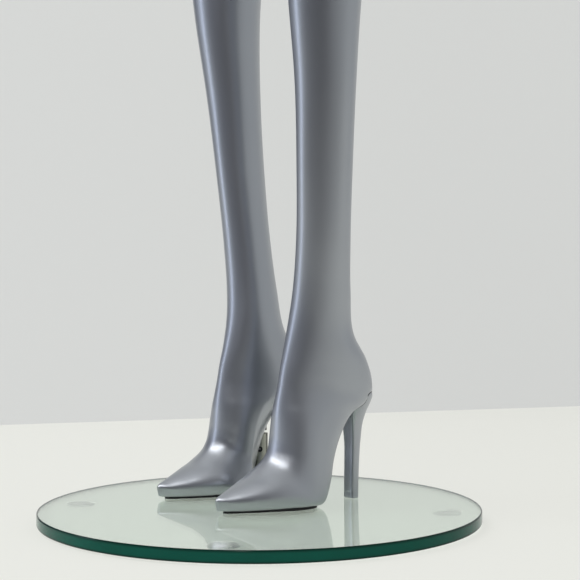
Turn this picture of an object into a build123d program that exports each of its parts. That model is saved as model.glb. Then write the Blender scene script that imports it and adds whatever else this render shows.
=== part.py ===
from build123d import *
from collections import namedtuple
from math import cos, dist, hypot, radians, sin
import os

os.makedirs("parts", exist_ok=True)

# Full body female mannequin on a round glass base, in separate pieces with twist-lock fittings.
# Millimetres, +Z up, origin on the floor under the centre of the glass. The figure faces -Y and
# its own left is +X. Heights in the shape tables are measured from the top of the glass.

# ---------------------------------------------------------------- driving dimensions
GLASS_D = 450.0            # base disc
GLASS_T = 12.0
GLASS_EDGE = 1.2           # polished arris
PAD_D = 30.0
PAD_T = 2.0
PAD_RING_R = 190.0         # radius of the ring that the pads stand on
PAD_COUNT = 4
MID_X = -38.0              # mid-plane of the figure, beside the centre of the glass
HEEL_Y = 105.0             # centre of the heel tips
SHOE_GAP = 0.2             # soles and heel tips over the glass
SEAM = 0.4                 # gap between two cut faces
SMALL_CHAMFER = 0.5        # on pads, the collar's mouth and the set screw
FIT = 0.2                  # radial clearance of a sliding or turning fit
SNUG = 0.05                # radial clearance of a piece that stays put

SPIGOT_X = -105.0          # vertical steel spigot under the right foot's arch
SPIGOT_Y = 74.0
ROD_D = 10.0
ROD_FOOT = 10.0            # lower end of the rod
ROD_TOP = 176.0            # upper end of the rod
COLLAR_D = 18.0
COLLAR_TOP = 60.0
COLLAR_ROOM = 3.0          # room round the collar where it enters the arch
FLANGE_D = 46.0
FLANGE_T = 5.0
FLANGE_CHAMFER = 1.25      # also on the rod's ends
GASKET_T = 1.0
SET_SCREW_D = 6.0          # clamping screw in the collar
SET_SCREW_Z = 42.5
SET_SCREW_TURN = 325.0     # direction that it faces, degrees from +X
SET_SCREW_PROUD = 1.0
SET_SCREW_KEY = 3.0
BOLT_D = 8.0
BOLT_HEAD_D = 16.0
BOLT_HEAD_T = 4.5
BOLT_KEY = 5.0
BOLT_KEY_DEPTH = 3.0
BOLT_SHORT = 1.0           # how far the bolt ends below the rod
BUSH_D = 22.0
SOCKET_D = 16.0            # steel socket in the right foot
SOCKET_TOP = 184.0
SOCKET_CAP = 4.0

HEEL_TIP_T = 6.0
DOWEL_D = 4.5              # steel dowel that ties the heel to the shoe
DOWEL_U = -3.5
DOWEL_FOOT = 12.0
DOWEL_TOP = 122.0
HEEL_FRONT = 4.0           # depth of the flat breast's corners
SOLE_DEPTH = 4.0           # how far the sole reaches up before the shoe trims it

THIGH_CUT = 930.0
THIGH_X = 87.0             # centre of the thigh's fitting, from the mid-plane
THIGH_Y = 40.0
WAIST_CUT = 1290.0
WAIST_Y = 22.5
NECK_CUT = 1650.0
NECK_Y = 30.0
SHOULDER_X = 146.0         # shoulder cut, from the mid-plane
SHOULDER_Y = 34.0
SHOULDER_Z = 1537.0
SPREAD = {"left": 10.47, "right": 2.6}   # how far each arm is held out, degrees
WRIST_DROP = 505.0         # wrist cut under the shoulder, along a hanging arm
WRIST_X = 31.2
WRIST_Y = -15.5
SLEEVE_R = 58.0            # bonding sleeve in the right thigh
SLEEVE_T = 3.0
SLEEVE_H = 40.0

PLATE_T = 3.0              # fitting plates
HEAD_T = 2.5               # stud heads
HEAD_GAP = 0.4
CAVITY_GAP = 1.0           # room over the stud heads

GLASS_TOP = PAD_T + GLASS_T
MIRROR = Plane.YZ.offset(MID_X)


def spot(x, y, z):
    """A point of the figure: across from its mid-plane, back, and up from the glass."""
    return (MID_X + x, y, GLASS_TOP + z)


def save(piece, name):
    piece.part.label = name
    export_step(piece.part, f"parts/{name}.step")


# ---------------------------------------------------------------- form tools
def outline(plane, right, top, left, bottom, fullness):
    """One closed section of four curves. Fullness runs from 0, straight, over .55, round, to 1, square."""
    k1, k2, k3, k4 = fullness
    curves = [
        Bezier((right, 0), (right, k1 * top), (k1 * right, top), (0, top)),
        Bezier((0, top), (-k2 * left, top), (-left, k2 * top), (-left, 0)),
        Bezier((-left, 0), (-left, -k3 * bottom), (-k3 * left, -bottom), (0, -bottom)),
        Bezier((0, -bottom), (k4 * right, -bottom), (right, -k4 * bottom), (right, 0)),
    ]
    return plane.location * Wire(curves)


def even_rows(rows, ends, step=20):
    """Rows at about even distances, on smooth curves through the given ones."""
    gaps = [max(dist(p, q) for p, q in zip(ends(a), ends(b))) for a, b in zip(rows, rows[1:])]
    rates = [[(q - p) / gap for p, q in zip(a, b)] for a, b, gap in zip(rows, rows[1:], gaps)]
    slopes = [rates[0]]
    for before, after, r, s in zip(gaps, gaps[1:], rates, rates[1:]):
        slopes.append([(p * after + q * before) / (before + after) for p, q in zip(r, s)])
    slopes.append(rates[-1])
    filled = []
    for gap, a, b, m, n in zip(gaps, rows, rows[1:], slopes, slopes[1:]):
        count = max(1, round(gap / step))
        for t in (k / count for k in range(count)):
            weights = (2 * t**3 - 3 * t**2 + 1, 3 * t**2 - 2 * t**3,
                       (t**3 - 2 * t**2 + t) * gap, (t**3 - t**2) * gap)
            filled.append([sum(w * v for w, v in zip(weights, column)) for column in zip(a, b, m, n)])
    return [*filled, rows[-1]]


def level(z, front, back, half):
    """A level section across the middle of the body."""
    middle = (front + back) / 2
    plane = Plane(origin=spot(0, middle, z), x_dir=(1, 0, 0), z_dir=(0, 0, -1))
    reach = (back - front) / 2
    return outline(plane, half, reach, half, reach, (.55, .55, .55, .55))


def level_skin(rows):
    rows = even_rows(rows, lambda row: ((row[1], row[0]), (row[2], row[0]), (row[3], row[0])))
    return Solid.make_loft([level(*row) for row in rows])


# ---------------------------------------------------------------- leg with moulded shoe
# u is the distance forward from the heel tip. The columns are: front u, z | back or underside
# u, z | half width outer, inner | place of the widest line | fullness above, below outer,
# below inner | centre from the mid-plane | turn in degrees.
HIP = [
    (150, 1205, -2, 1205, 60, 44, .48, .55, .55, .55, 70, 0),
    (163, 1155, -26, 1155, 76, 66, .48, .55, .55, .55, 79, 0),
    (170, 1105, -38, 1105, 82, 76, .48, .55, .55, .55, 82, 0),
    (167, 1055, -36, 1055, 83, 79, .48, .55, .55, .55, 83, 0),
    (156, 995, -26, 995, 79, 79, .48, .55, .55, .55, 85, 0),
]
THIGH = [
    (144, 930, -14, 930, 73, 75, .48, .55, .55, .55, THIGH_X, 0),
    (137, 880, -7, 880, 68, 69, .48, .55, .55, .55, 89, 1),
]
SHANK = [
    (129, 825, 0, 825, 61, 61, .48, .55, .55, .55, 91, 2),
    (121, 765, 6, 765, 52, 52, .48, .55, .55, .55, 93.5, 3),
    (114, 705, 11, 705, 45, 45, .50, .56, .55, .55, 95, 4),
    (108, 650, 12, 650, 42, 42, .50, .56, .55, .55, 94, 5),
    (103.5, 590, 14, 590, 38.5, 38.5, .50, .55, .55, .55, 91.5, 6.5),
    (98, 523, 19, 523, 32.5, 32.5, .48, .55, .55, .55, 88, 8),
    (86.5, 430, 21, 430, 26.5, 26.5, .48, .55, .55, .55, 82.5, 9.5),
    (80.3, 350, 19.5, 350, 23.2, 23.2, .48, .55, .55, .55, 76, 10.3),
    (75.3, 273, 16.5, 273, 22.8, 22.8, .46, .55, .55, .55, 68.4, 11),
    (75, 225, 12, 220, 23.5, 23.5, .45, .55, .55, .55, 62.7, 9),
    (78.2, 190, 4.5, 174, 25, 25, .45, .55, .55, .55, 58.7, 6),
    (84.5, 160, -15, 145, 26, 26, .45, .55, .55, .55, 57.6, 3.5),
    (90, 138, -24, 125, 26.6, 26, .48, .55, .55, .55, 56.7, 1),
    (93, 122, -24, 111, 27, 26.2, .49, .55, .62, .60, 56, 0),
    (95.8, 109, -11, 101, 28, 27, .50, .55, .76, .50, 55.7, 0),
    (98, 97, 9, 93, 29, 27.5, .50, .55, .87, .35, 55.5, 0),
    (99.8, 80, 30, 70, 31, 27.6, .52, .55, .95, .23, 55.5, 0),
    (101.3, 67, 41.5, 46, 33.2, 27.6, .56, .55, .95, .23, 55.2, 0),
    (104.5, 56.5, 49, 24, 35.3, 29, .62, .55, .95, .26, 55, 0),
    (111.5, 47, 57, 8, 37.2, 34, .68, .55, .95, .66, 55, 0),
    (122.5, 38.5, 75, 2, 38, 36.5, .74, .55, .95, .94, 55.2, 0),
    (137, 31, 108, 1.5, 31.5, 31.5, .72, .50, .95, .95, 55.5, 0),
    (151, 24.5, 134, 1.5, 21, 21, .62, .46, .95, .95, 55.5, 0),
    (163, 19, 155, 2, 10.5, 10.5, .48, .44, .95, .95, 55.5, 0),
    (169, 16, 165.3, 2.8, 4.6, 4.6, .30, .44, .90, .90, 55.5, 0),
    (170.8, 14.5, 168.5, 3.6, 2.2, 2.2, .30, .44, .90, .90, 55.5, 0),
]
FOOT_CENTRE = 55.5


def leg_section(row):
    front_u, front_z, back_u, back_z, outer, inner, widest, upper, low_out, low_in, centre, turn = row
    mid_u = front_u + (back_u - front_u) * widest
    mid_z = front_z + (back_z - front_z) * widest
    across = Vector(cos(radians(turn)), -sin(radians(turn)), 0)
    ahead = Vector(-sin(radians(turn)), -cos(radians(turn)), 0)
    up = ahead * (front_u - mid_u) + Vector(0, 0, front_z - mid_z)
    plane = Plane(origin=spot(centre, HEEL_Y - mid_u, mid_z), x_dir=across, z_dir=across.cross(up))
    low = hypot(mid_u - back_u, mid_z - back_z)
    return outline(plane, outer, up.length, inner, low, (upper, upper, low_in, low_out))


def leg_skin(rows):
    rows = even_rows(rows, lambda row: (row[0:2], row[2:4]))
    return Solid.make_loft([leg_section(row) for row in rows])


LEG_SKIN = leg_skin([*HIP, *THIGH, *SHANK])

# ---------------------------------------------------------------- trunk and head
# height | front, back | half width | fullness front, back
TORSO = [
    (1690, -40, 80, 50),
    (1668, -23, 76, 49),
    (1646, -18, 77, 50),
    (1625, -20, 85, 57),
    (1600, -30, 97, 80),
    (1570, -45, 110, 112),
    (1530, -60, 120, 134),
    (1480, -69, 123, 136),
    (1430, -69, 118, 129),
    (1380, -63, 109, 118),
    (1335, -56, 101, 109),
    (1290, -53, 98, 107),
    (1250, -57, 103, 116),
]
PELVIS = [
    (1335, -56, 101, 109),
    (1290, -53, 98, 107),
    (1250, -57, 103, 116),
    (1205, -64, 114, 137),
    (1160, -69, 125, 152),
    (1118, -67, 124, 144),
    (1085, -58, 108, 108),
    (1062, -42, 84, 64),
    (1050, -24, 66, 32),
]
HEAD = [
    (1904, 23, 35, 6),
    (1902.5, 8, 49, 20),
    (1897, -14, 68, 38),
    (1884, -36, 92, 55),
    (1860, -55, 112, 68.5),
    (1820, -68, 122, 75.5),
    (1780, -72, 118, 75),
    (1742, -70, 104, 68),
    (1712, -60, 89, 57),
    (1690, -40, 80, 50),
    (1668, -23, 76, 49),
    (1646, -18, 77, 50),
    (1625, -20, 85, 57),
]
BUST_X, BUST_Y, BUST_Z = 54.0, -36.0, 1448.0
BUST_SIZE = (60.0, 60.0, 74.0)

# ---------------------------------------------------------------- arm and hand
# Places are from the shoulder centre, for an arm that hangs straight down: outer x, z | inner
# x, z | reach to the front, to the back | centre y | share of the spread.
SHOULDER = [
    (-100, 86, -100, -20, 36, 36, 4, 0),
    (-62, 69, -62, -36, 43, 43, 2, 0),
    (-28, 57, -28, -47, 47, 47, 0, 0),
    (0, 50, 0, -51, 48, 48, 0, 0),
]
UPPER_ARM = [
    (SEAM, 50, SEAM, -51, 48, 48, 0, 0),
    (27, 43, 2.5, -60, 47, 47, 0, .25),
    (48, 20, 3.5, -71, 45, 46, 0, .6),
    (60, -14, 3.5, -86, 43, 44, 0, 1),
    (66, -55, 3, -110, 41, 43, 0, 1),
    (68, -110, 2, -140, 39, 41, 1, 1),
    (66, -172, 3, -186, 37, 38, 2, 1),
]
# From here on, heights are from the wrist.
FOREARM = [
    (62, 265, 6, 259, 34, 35, 3, 1),
    (61, 215, 8, 215, 33, 34, 2, 1),
    (63, 170, 6, 170, 37, 36, -2, 1),
    (60, 125, 7, 125, 36, 34, -5, 1),
    (54, 65, 10, 65, 31, 29, -10, 1),
    (49.5, 20, 13.5, 20, 27, 25, -14, 1),
    (48.5, 0, 14, 0, 26, 24, -15, 1),
]
HAND = [
    (48.5, -SEAM, 14, -SEAM, 26, 24, -15, 1),
    (47, -17, 15, -17, 27, 25.5, -16, 1),
    (44.5, -41, 16, -41, 33, 32, -19, 1),
    (43, -69, 17, -69, 38.5, 38, -22, 1),
    (42, -93, 18.5, -93, 40, 40, -24, 1),
    (39.5, -109, 21, -109, 38, 38, -25, 1),
]
# start x, y, z | direction | length | radius
FINGERS = [
    ((30, -54, -95), (-.06, -.06, -1), 74, 9.2),
    ((30, -35, -97), (-.07, -.02, -1), 84, 9.4),
    ((30, -16, -97), (-.09, .02, -1), 79, 9.2),
    ((30, 2.5, -93), (-.11, .06, -1), 66, 8.2),
    ((29, -44, -33), (-.10, -.42, -1), 76, 11.0),
]
FINGER_TAPER = [(0, 1), (.35, .98), (.65, .88), (.86, .78), (.95, .58), (1, .22)]


def from_wrist(rows):
    return [(x, z - WRIST_DROP, u, w - WRIST_DROP, *rest) for x, z, u, w, *rest in rows]


def arm_spot(x, y, z, spread, share=1):
    """A place on the left arm, held out from the body by a share of the spread."""
    tilt = radians(spread * share)
    return spot(SHOULDER_X + x * cos(tilt) - z * sin(tilt), SHOULDER_Y + y,
                SHOULDER_Z + x * sin(tilt) + z * cos(tilt))


def arm_section(row, spread):
    outer_x, outer_z, inner_x, inner_z, front, back, y, share = row
    outer = Vector(*arm_spot(outer_x, y, outer_z, spread, share))
    inner = Vector(*arm_spot(inner_x, y, inner_z, spread, share))
    across = Vector(0, 1, 0)
    plane = Plane(origin=(outer + inner) / 2, x_dir=across, z_dir=across.cross(outer - inner))
    reach = (outer - inner).length / 2
    return outline(plane, back, reach, front, reach, (.55, .55, .55, .55))


def arm_skin(rows, spread):
    rows = even_rows(rows, lambda row: (row[0:2], row[2:4]))
    return Solid.make_loft([arm_section(row, spread) for row in rows])


def finger_skin(start, direction, length, radius, spread):
    """A tapered finger with a round tip."""
    start = (start[0], start[1], start[2] - WRIST_DROP)
    root = Vector(*arm_spot(*start, spread))
    tip = Vector(*arm_spot(*[s + d * length for s, d in zip(start, direction)], spread))
    along = tip - root
    rounds = []
    for share, size in FINGER_TAPER:
        plane = Plane(origin=root + along * share, x_dir=(0, 1, 0), z_dir=along)
        r = radius * size
        rounds.append(outline(plane, r, r, r, r, (.55, .55, .55, .55)))
    return Solid.make_loft(rounds)


# ---------------------------------------------------------------- twist-lock fittings
# A round plate with headed studs sits flush in one cut face, whose plane is Z = 0 here. The piece
# put on, at Z = SEAM and up, has a plate with keyhole slots: it drops over the studs at open_at
# degrees and turns to 0, where the heads hold it. It can turn on from low to high.
Fitting = namedtuple("Fitting", "radius studs circle neck head low high open_at screw_circle screw_d")
WAIST = Fitting(46, 2, 26, 8, 13, 0, 30, 30, 40, 5)
HIP_JOINT = Fitting(44, 2, 25, 8, 13, -30, 0, -30, 38, 5)
NECK = Fitting(30, 2, 17, 6, 10, -45, 45, 45, 26, 3.5)
SHOULDER_JOINT = Fitting(34, 2, 18, 7, 11, -75, 0, -75, 29.5, 4)
WRIST = Fitting(14.5, 2, 7.4, 3.4, 5.8, -90, 0, -90, 12.2, 2)
SCREW_LENGTH = 5           # in screw diameters
SCREW_HEAD = 1.84
SCREW_SINK = .45
PIVOT = 1.4                # in stud neck diameters

UP = (Align.CENTER, Align.CENTER, Align.MIN)
DOWN = (Align.CENTER, Align.CENTER, Align.MAX)
TURNED_OVER = Plane.XY.offset(SEAM / 2)


def screws(fitting, grow=0.0):
    """Countersunk screws with their heads flush at Z = 0, or the holes for them."""
    size = fitting.screw_d
    plain = (360 / fitting.studs - fitting.low - fitting.high) / 2
    with BuildPart() as group:
        with PolarLocations(fitting.screw_circle, fitting.studs, start_angle=plain):
            Cone(size / 2 + grow, size * SCREW_HEAD / 2 + grow, size * SCREW_SINK, align=DOWN)
            Cylinder(size / 2 + grow, size * SCREW_LENGTH + grow, align=DOWN)
    return group.part


def far_screws(fitting, grow=0.0):
    """The same screws in the piece put on."""
    with BuildPart() as group:
        add(screws(fitting, grow))
        mirror(about=TURNED_OVER, mode=Mode.REPLACE)
    return group.part


def stud_plate(fitting):
    """Plate with its pivot and headed studs, and countersunk holes for its screws."""
    reach = SEAM + PLATE_T + HEAD_GAP
    with BuildPart() as plate:
        Cylinder(fitting.radius, PLATE_T, align=DOWN)
        Cylinder(fitting.neck * PIVOT / 2, SEAM + PLATE_T, align=UP)
        with PolarLocations(fitting.circle, fitting.studs):
            Cylinder(fitting.neck / 2, reach, align=UP)
        with BuildSketch(Plane.XY.offset(reach)):
            with PolarLocations(fitting.circle, fitting.studs):
                Circle(fitting.head / 2)
        extrude(amount=HEAD_T)
        add(screws(fitting, SNUG), mode=Mode.SUBTRACT)
    return plate.part


def slot_plate(fitting):
    """Plate with a hole for the pivot and one keyhole slot for each stud."""
    with BuildPart() as plate:
        with BuildSketch(Plane.XY.offset(SEAM)):
            Circle(fitting.radius)
            Circle(fitting.neck * PIVOT / 2 + FIT, mode=Mode.SUBTRACT)
            for stud in (i * 360 / fitting.studs for i in range(fitting.studs)):
                path = CenterArc((0, 0), fitting.circle, stud - fitting.high, fitting.high - fitting.low,
                                 mode=Mode.PRIVATE)
                SlotArc(path, fitting.neck + 2 * FIT, mode=Mode.SUBTRACT)
                with PolarLocations(fitting.circle, 1, start_angle=stud - fitting.open_at):
                    Circle(fitting.head / 2 + FIT, mode=Mode.SUBTRACT)
        extrude(amount=PLATE_T)
        add(far_screws(fitting, SNUG), mode=Mode.SUBTRACT)
    return plate.part


def stud_seat(fitting):
    """What the stud plate and its screws take out of the piece that carries them."""
    with BuildPart() as seat:
        Cylinder(fitting.radius + SNUG, PLATE_T, align=DOWN)
        add(screws(fitting, SNUG))
    return seat.part


def slot_seat(fitting):
    """What the slotted plate, the stud heads and the screws take out of the piece put on."""
    room = PLATE_T + HEAD_GAP + HEAD_T + CAVITY_GAP
    with BuildPart() as seat:
        with Locations((0, 0, SEAM)):
            Cylinder(fitting.radius + SNUG, PLATE_T, align=UP)
            Cylinder(fitting.circle + fitting.head / 2 + FIT, room, align=UP)
        add(far_screws(fitting, SNUG))
    return seat.part


WAIST_FACE = Plane(origin=spot(0, WAIST_Y, WAIST_CUT))
THIGH_FACE = Plane(origin=spot(THIGH_X, THIGH_Y, THIGH_CUT), x_dir=(1, 0, 0), z_dir=(0, 0, -1))
NECK_FACE = Plane(origin=spot(0, NECK_Y, NECK_CUT))
SHOULDER_FACE = Plane(origin=spot(SHOULDER_X, SHOULDER_Y, SHOULDER_Z), x_dir=(0, 1, 0), z_dir=(1, 0, 0))


def wrist_face(spread):
    centre = Vector(*arm_spot(WRIST_X, WRIST_Y, -WRIST_DROP, spread))
    below = Vector(*arm_spot(WRIST_X, WRIST_Y, -WRIST_DROP - 10, spread))
    return Plane(origin=centre, x_dir=(0, 1, 0), z_dir=below - centre)


# ---------------------------------------------------------------- base
def spigot(z):
    """The plane across the spigot, a height above the glass."""
    return Plane(origin=(SPIGOT_X, SPIGOT_Y, GLASS_TOP + z))


with BuildPart() as glass_base:
    with BuildSketch(Plane.XY.offset(PAD_T)):
        Circle(GLASS_D / 2)
    extrude(amount=GLASS_T)
    chamfer(glass_base.edges().filter_by(GeomType.CIRCLE), GLASS_EDGE)
    with BuildSketch(Plane.XY.offset(PAD_T)):
        with Locations((SPIGOT_X, SPIGOT_Y)):
            Circle(BUSH_D / 2 + SNUG)
    extrude(amount=GLASS_T, mode=Mode.SUBTRACT)
save(glass_base, "glass_base")

with BuildPart() as base_pads:
    with PolarLocations(PAD_RING_R, PAD_COUNT, start_angle=45):
        Cylinder(PAD_D / 2, PAD_T, align=UP)
    chamfer(base_pads.edges().group_by(Axis.Z)[0], SMALL_CHAMFER)
save(base_pads, "base_pads")

with BuildPart(spigot(-GLASS_T)) as glass_bush:
    Cylinder(BUSH_D / 2, GLASS_T, align=UP)
    Cylinder(BOLT_D / 2 + SNUG, GLASS_T, align=UP, mode=Mode.SUBTRACT)
    Cone(BOLT_HEAD_D / 2 + SNUG, BOLT_D / 2 + SNUG, BOLT_HEAD_T, align=UP, mode=Mode.SUBTRACT)
save(glass_bush, "glass_bush")

with BuildPart(spigot(-GLASS_T)) as base_bolt:
    Cone(BOLT_HEAD_D / 2, BOLT_D / 2, BOLT_HEAD_T, align=UP)
    Cylinder(BOLT_D / 2, GLASS_T + ROD_FOOT - BOLT_SHORT, align=UP)
    with BuildSketch(spigot(-GLASS_T)):
        RegularPolygon(BOLT_KEY / 2, 6, major_radius=False)
    extrude(amount=BOLT_KEY_DEPTH, mode=Mode.SUBTRACT)
save(base_bolt, "base_bolt")

with BuildPart(spigot(0)) as flange_gasket:
    Cylinder(FLANGE_D / 2, GASKET_T, align=UP)
    Cylinder(BOLT_D / 2 + SNUG, GASKET_T, align=UP, mode=Mode.SUBTRACT)
save(flange_gasket, "flange_gasket")

SCREW_WAY = Vector(cos(radians(SET_SCREW_TURN)), sin(radians(SET_SCREW_TURN)), 0)
SCREW_PLANE = Plane(origin=spigot(SET_SCREW_Z).origin, x_dir=(0, 0, 1), z_dir=SCREW_WAY)
SCREW_IN = ROD_D / 2 + 2 * SNUG
SCREW_OUT = COLLAR_D / 2 + SET_SCREW_PROUD

with BuildPart(spigot(GASKET_T)) as spigot_collar:
    Cylinder(FLANGE_D / 2, FLANGE_T, align=UP)
    chamfer(spigot_collar.edges().group_by(Axis.Z)[-1], FLANGE_CHAMFER)
    Cylinder(COLLAR_D / 2, COLLAR_TOP - GASKET_T, align=UP)
    chamfer(spigot_collar.edges().group_by(Axis.Z)[-1], SMALL_CHAMFER)
    Cylinder(BOLT_D / 2 + SNUG, COLLAR_TOP, align=UP, mode=Mode.SUBTRACT)
    with Locations((0, 0, ROD_FOOT - GASKET_T)):
        Cylinder(ROD_D / 2 + FIT, COLLAR_TOP, align=UP, mode=Mode.SUBTRACT)
    with BuildSketch(SCREW_PLANE):
        Circle(SET_SCREW_D / 2 + SNUG)
    extrude(amount=COLLAR_D, mode=Mode.SUBTRACT)
save(spigot_collar, "spigot_collar")

with BuildPart() as set_screw:
    with BuildSketch(SCREW_PLANE.offset(SCREW_IN)):
        Circle(SET_SCREW_D / 2)
    extrude(amount=SCREW_OUT - SCREW_IN)
    chamfer(set_screw.edges().filter_by(GeomType.CIRCLE), SMALL_CHAMFER)
    with BuildSketch(SCREW_PLANE.offset(SCREW_OUT)):
        RegularPolygon(SET_SCREW_KEY / 2, 6, major_radius=False)
    extrude(amount=-SET_SCREW_KEY, mode=Mode.SUBTRACT)
save(set_screw, "set_screw")

with BuildPart(spigot(ROD_FOOT)) as spigot_rod:
    Cylinder(ROD_D / 2, ROD_TOP - ROD_FOOT, align=UP)
    chamfer(spigot_rod.edges().filter_by(GeomType.CIRCLE), FLANGE_CHAMFER)
save(spigot_rod, "spigot_rod")

# ---------------------------------------------------------------- shoes: heel, tip, dowel, sole
# height | breast u, back u | half width
HEEL = [
    (118, 12, -22, 20),
    (108, 11, -24.6, 22),
    (100, 9.5, -22.3, 18.5),
    (92, 7.8, -18.6, 14.5),
    (82, 5.4, -15, 11),
    (61, 3.2, -11.3, 8.8),
    (35, 3.4, -9.2, 8.1),
    (15, 3.8, -8.3, 8),
    (SHOE_GAP, 4, -8, 8),
]
# u | half width outer, inner
SOLE = [(64, 25, 21), (72, 31, 28), (85, 33, 32), (100, 30, 30), (118, 23, 23), (136, 15.5, 15.5),
        (150, 9, 9), (158, 5, 5)]
SOLE_TIP = 161.5
SOLE_BACK = 61.0


def heel_section(z, breast, back, half):
    """Flat in front, straight at the sides and round behind."""
    middle = HEEL_Y - breast + HEEL_FRONT
    plane = Plane(origin=spot(FOOT_CENTRE, middle, z), x_dir=(1, 0, 0), z_dir=(0, 0, -1))
    return outline(plane, half, HEEL_FRONT, half, breast - back - HEEL_FRONT, (.94, .94, .62, .62))


with BuildPart() as plain_leg:
    add(LEG_SKIN)
    split(bisect_by=Plane(origin=spot(0, 0, THIGH_CUT - SEAM)), keep=Keep.BOTTOM)

DOWEL_AT = Plane(origin=spot(FOOT_CENTRE, HEEL_Y - DOWEL_U, DOWEL_FOOT))
TIP_SEAM = Plane(origin=spot(0, 0, HEEL_TIP_T))
HEEL_SKIN = Solid.make_loft([heel_section(*row) for row in HEEL])

with BuildPart() as left_heel:
    add(HEEL_SKIN)
    split(bisect_by=TIP_SEAM, keep=Keep.TOP)
    add(plain_leg.part, mode=Mode.SUBTRACT)
    with BuildSketch(DOWEL_AT):
        Circle(DOWEL_D / 2 + SNUG)
    extrude(amount=DOWEL_TOP - DOWEL_FOOT, mode=Mode.SUBTRACT)
    add(left_heel.part.solids().sort_by(SortBy.VOLUME)[-1], mode=Mode.REPLACE)

with BuildPart() as left_heel_tip:
    add(HEEL_SKIN)
    split(bisect_by=TIP_SEAM, keep=Keep.BOTTOM)

with BuildPart(DOWEL_AT) as left_heel_dowel:
    Cylinder(DOWEL_D / 2, DOWEL_TOP - DOWEL_FOOT, align=UP)

with BuildPart() as left_sole:
    with BuildSketch(Plane(origin=spot(FOOT_CENTRE, HEEL_Y, SHOE_GAP))):
        with BuildLine():
            Spline((0, -SOLE_BACK), *[(outer, -u) for u, outer, inner in SOLE], (0, -SOLE_TIP),
                   *[(-inner, -u) for u, outer, inner in reversed(SOLE)], periodic=True)
        make_face()
    extrude(amount=SOLE_DEPTH)
    add(plain_leg.part, mode=Mode.SUBTRACT)
    add(left_sole.part.solids().sort_by(SortBy.VOLUME)[-1], mode=Mode.REPLACE)

for piece, name in ((left_heel, "heel"), (left_heel_tip, "heel_tip"), (left_heel_dowel, "heel_dowel"),
                    (left_sole, "sole")):
    save(piece, f"left_{name}")
    with BuildPart() as right_piece:
        mirror(piece.part, about=MIRROR)
    save(right_piece, f"right_{name}")

# ---------------------------------------------------------------- left leg
with BuildPart() as left_leg_shell:
    add(plain_leg.part)
    add(left_heel_dowel.part, mode=Mode.SUBTRACT)
    with Locations(THIGH_FACE):
        add(slot_seat(HIP_JOINT), mode=Mode.SUBTRACT)
save(left_leg_shell, "left_leg_shell")

with BuildPart(THIGH_FACE) as left_thigh_plate:
    add(slot_plate(HIP_JOINT))
save(left_thigh_plate, "left_thigh_plate")

with BuildPart(THIGH_FACE) as left_leg_screws:
    add(far_screws(HIP_JOINT))
save(left_leg_screws, "left_leg_screws")

# ---------------------------------------------------------------- lower body: pelvis and right leg
with BuildPart(Plane(origin=spot(-THIGH_X, THIGH_Y, THIGH_CUT - SLEEVE_H / 2))) as right_thigh_sleeve:
    Cylinder(SLEEVE_R, SLEEVE_H, align=UP)
    Cylinder(SLEEVE_R - SLEEVE_T, SLEEVE_H, align=UP, mode=Mode.SUBTRACT)
save(right_thigh_sleeve, "right_thigh_sleeve")

with BuildPart() as right_leg_shell:
    add(LEG_SKIN)
    split(bisect_by=Plane(origin=spot(0, 0, THIGH_CUT)), keep=Keep.BOTTOM)
    add(left_heel_dowel.part, mode=Mode.SUBTRACT)
    mirror(about=MIRROR, mode=Mode.REPLACE)
    add(right_thigh_sleeve.part, mode=Mode.SUBTRACT)
    with Locations(spigot(0)):
        Cylinder(COLLAR_D / 2 + COLLAR_ROOM, COLLAR_TOP + COLLAR_ROOM, align=UP, mode=Mode.SUBTRACT)
        Cylinder(SOCKET_D / 2, SOCKET_TOP, align=UP, mode=Mode.SUBTRACT)
save(right_leg_shell, "right_leg_shell")

with BuildPart(spigot(COLLAR_TOP + COLLAR_ROOM)) as foot_socket:
    Cylinder(SOCKET_D / 2, SOCKET_TOP - COLLAR_TOP - COLLAR_ROOM, align=UP)
    Cylinder(ROD_D / 2 + FIT, SOCKET_TOP - COLLAR_TOP - COLLAR_ROOM - SOCKET_CAP, align=UP,
             mode=Mode.SUBTRACT)
save(foot_socket, "foot_socket")

with BuildPart(mode=Mode.PRIVATE) as right_hip:
    add(LEG_SKIN)
    mirror(about=MIRROR, mode=Mode.REPLACE)

with BuildPart() as pelvis_shell:
    add(level_skin(PELVIS))
    add(LEG_SKIN)
    add(right_hip.part)
    split(bisect_by=Plane(origin=spot(0, 0, WAIST_CUT)), keep=Keep.BOTTOM)
    split(bisect_by=Plane(origin=spot(0, 0, THIGH_CUT)), keep=Keep.TOP)
    add(right_thigh_sleeve.part, mode=Mode.SUBTRACT)
    with Locations(WAIST_FACE):
        add(stud_seat(WAIST), mode=Mode.SUBTRACT)
    with Locations(THIGH_FACE):
        add(stud_seat(HIP_JOINT), mode=Mode.SUBTRACT)
save(pelvis_shell, "pelvis_shell")

with BuildPart(WAIST_FACE) as pelvis_waist_plate:
    add(stud_plate(WAIST))
save(pelvis_waist_plate, "pelvis_waist_plate")

with BuildPart(THIGH_FACE) as pelvis_thigh_plate:
    add(stud_plate(HIP_JOINT))
save(pelvis_thigh_plate, "pelvis_thigh_plate")

with BuildPart() as pelvis_screws:
    with Locations(WAIST_FACE):
        add(screws(WAIST))
    with Locations(THIGH_FACE):
        add(screws(HIP_JOINT))
save(pelvis_screws, "pelvis_screws")

# ---------------------------------------------------------------- torso
with BuildPart(mode=Mode.PRIVATE) as shoulder_seats:
    with Locations(SHOULDER_FACE):
        add(stud_seat(SHOULDER_JOINT))
    mirror(about=MIRROR)

with BuildPart(mode=Mode.PRIVATE) as shoulders:
    add(arm_skin(SHOULDER, 0))
    mirror(about=MIRROR)

bust = scale(Sphere(1), by=BUST_SIZE)

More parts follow.
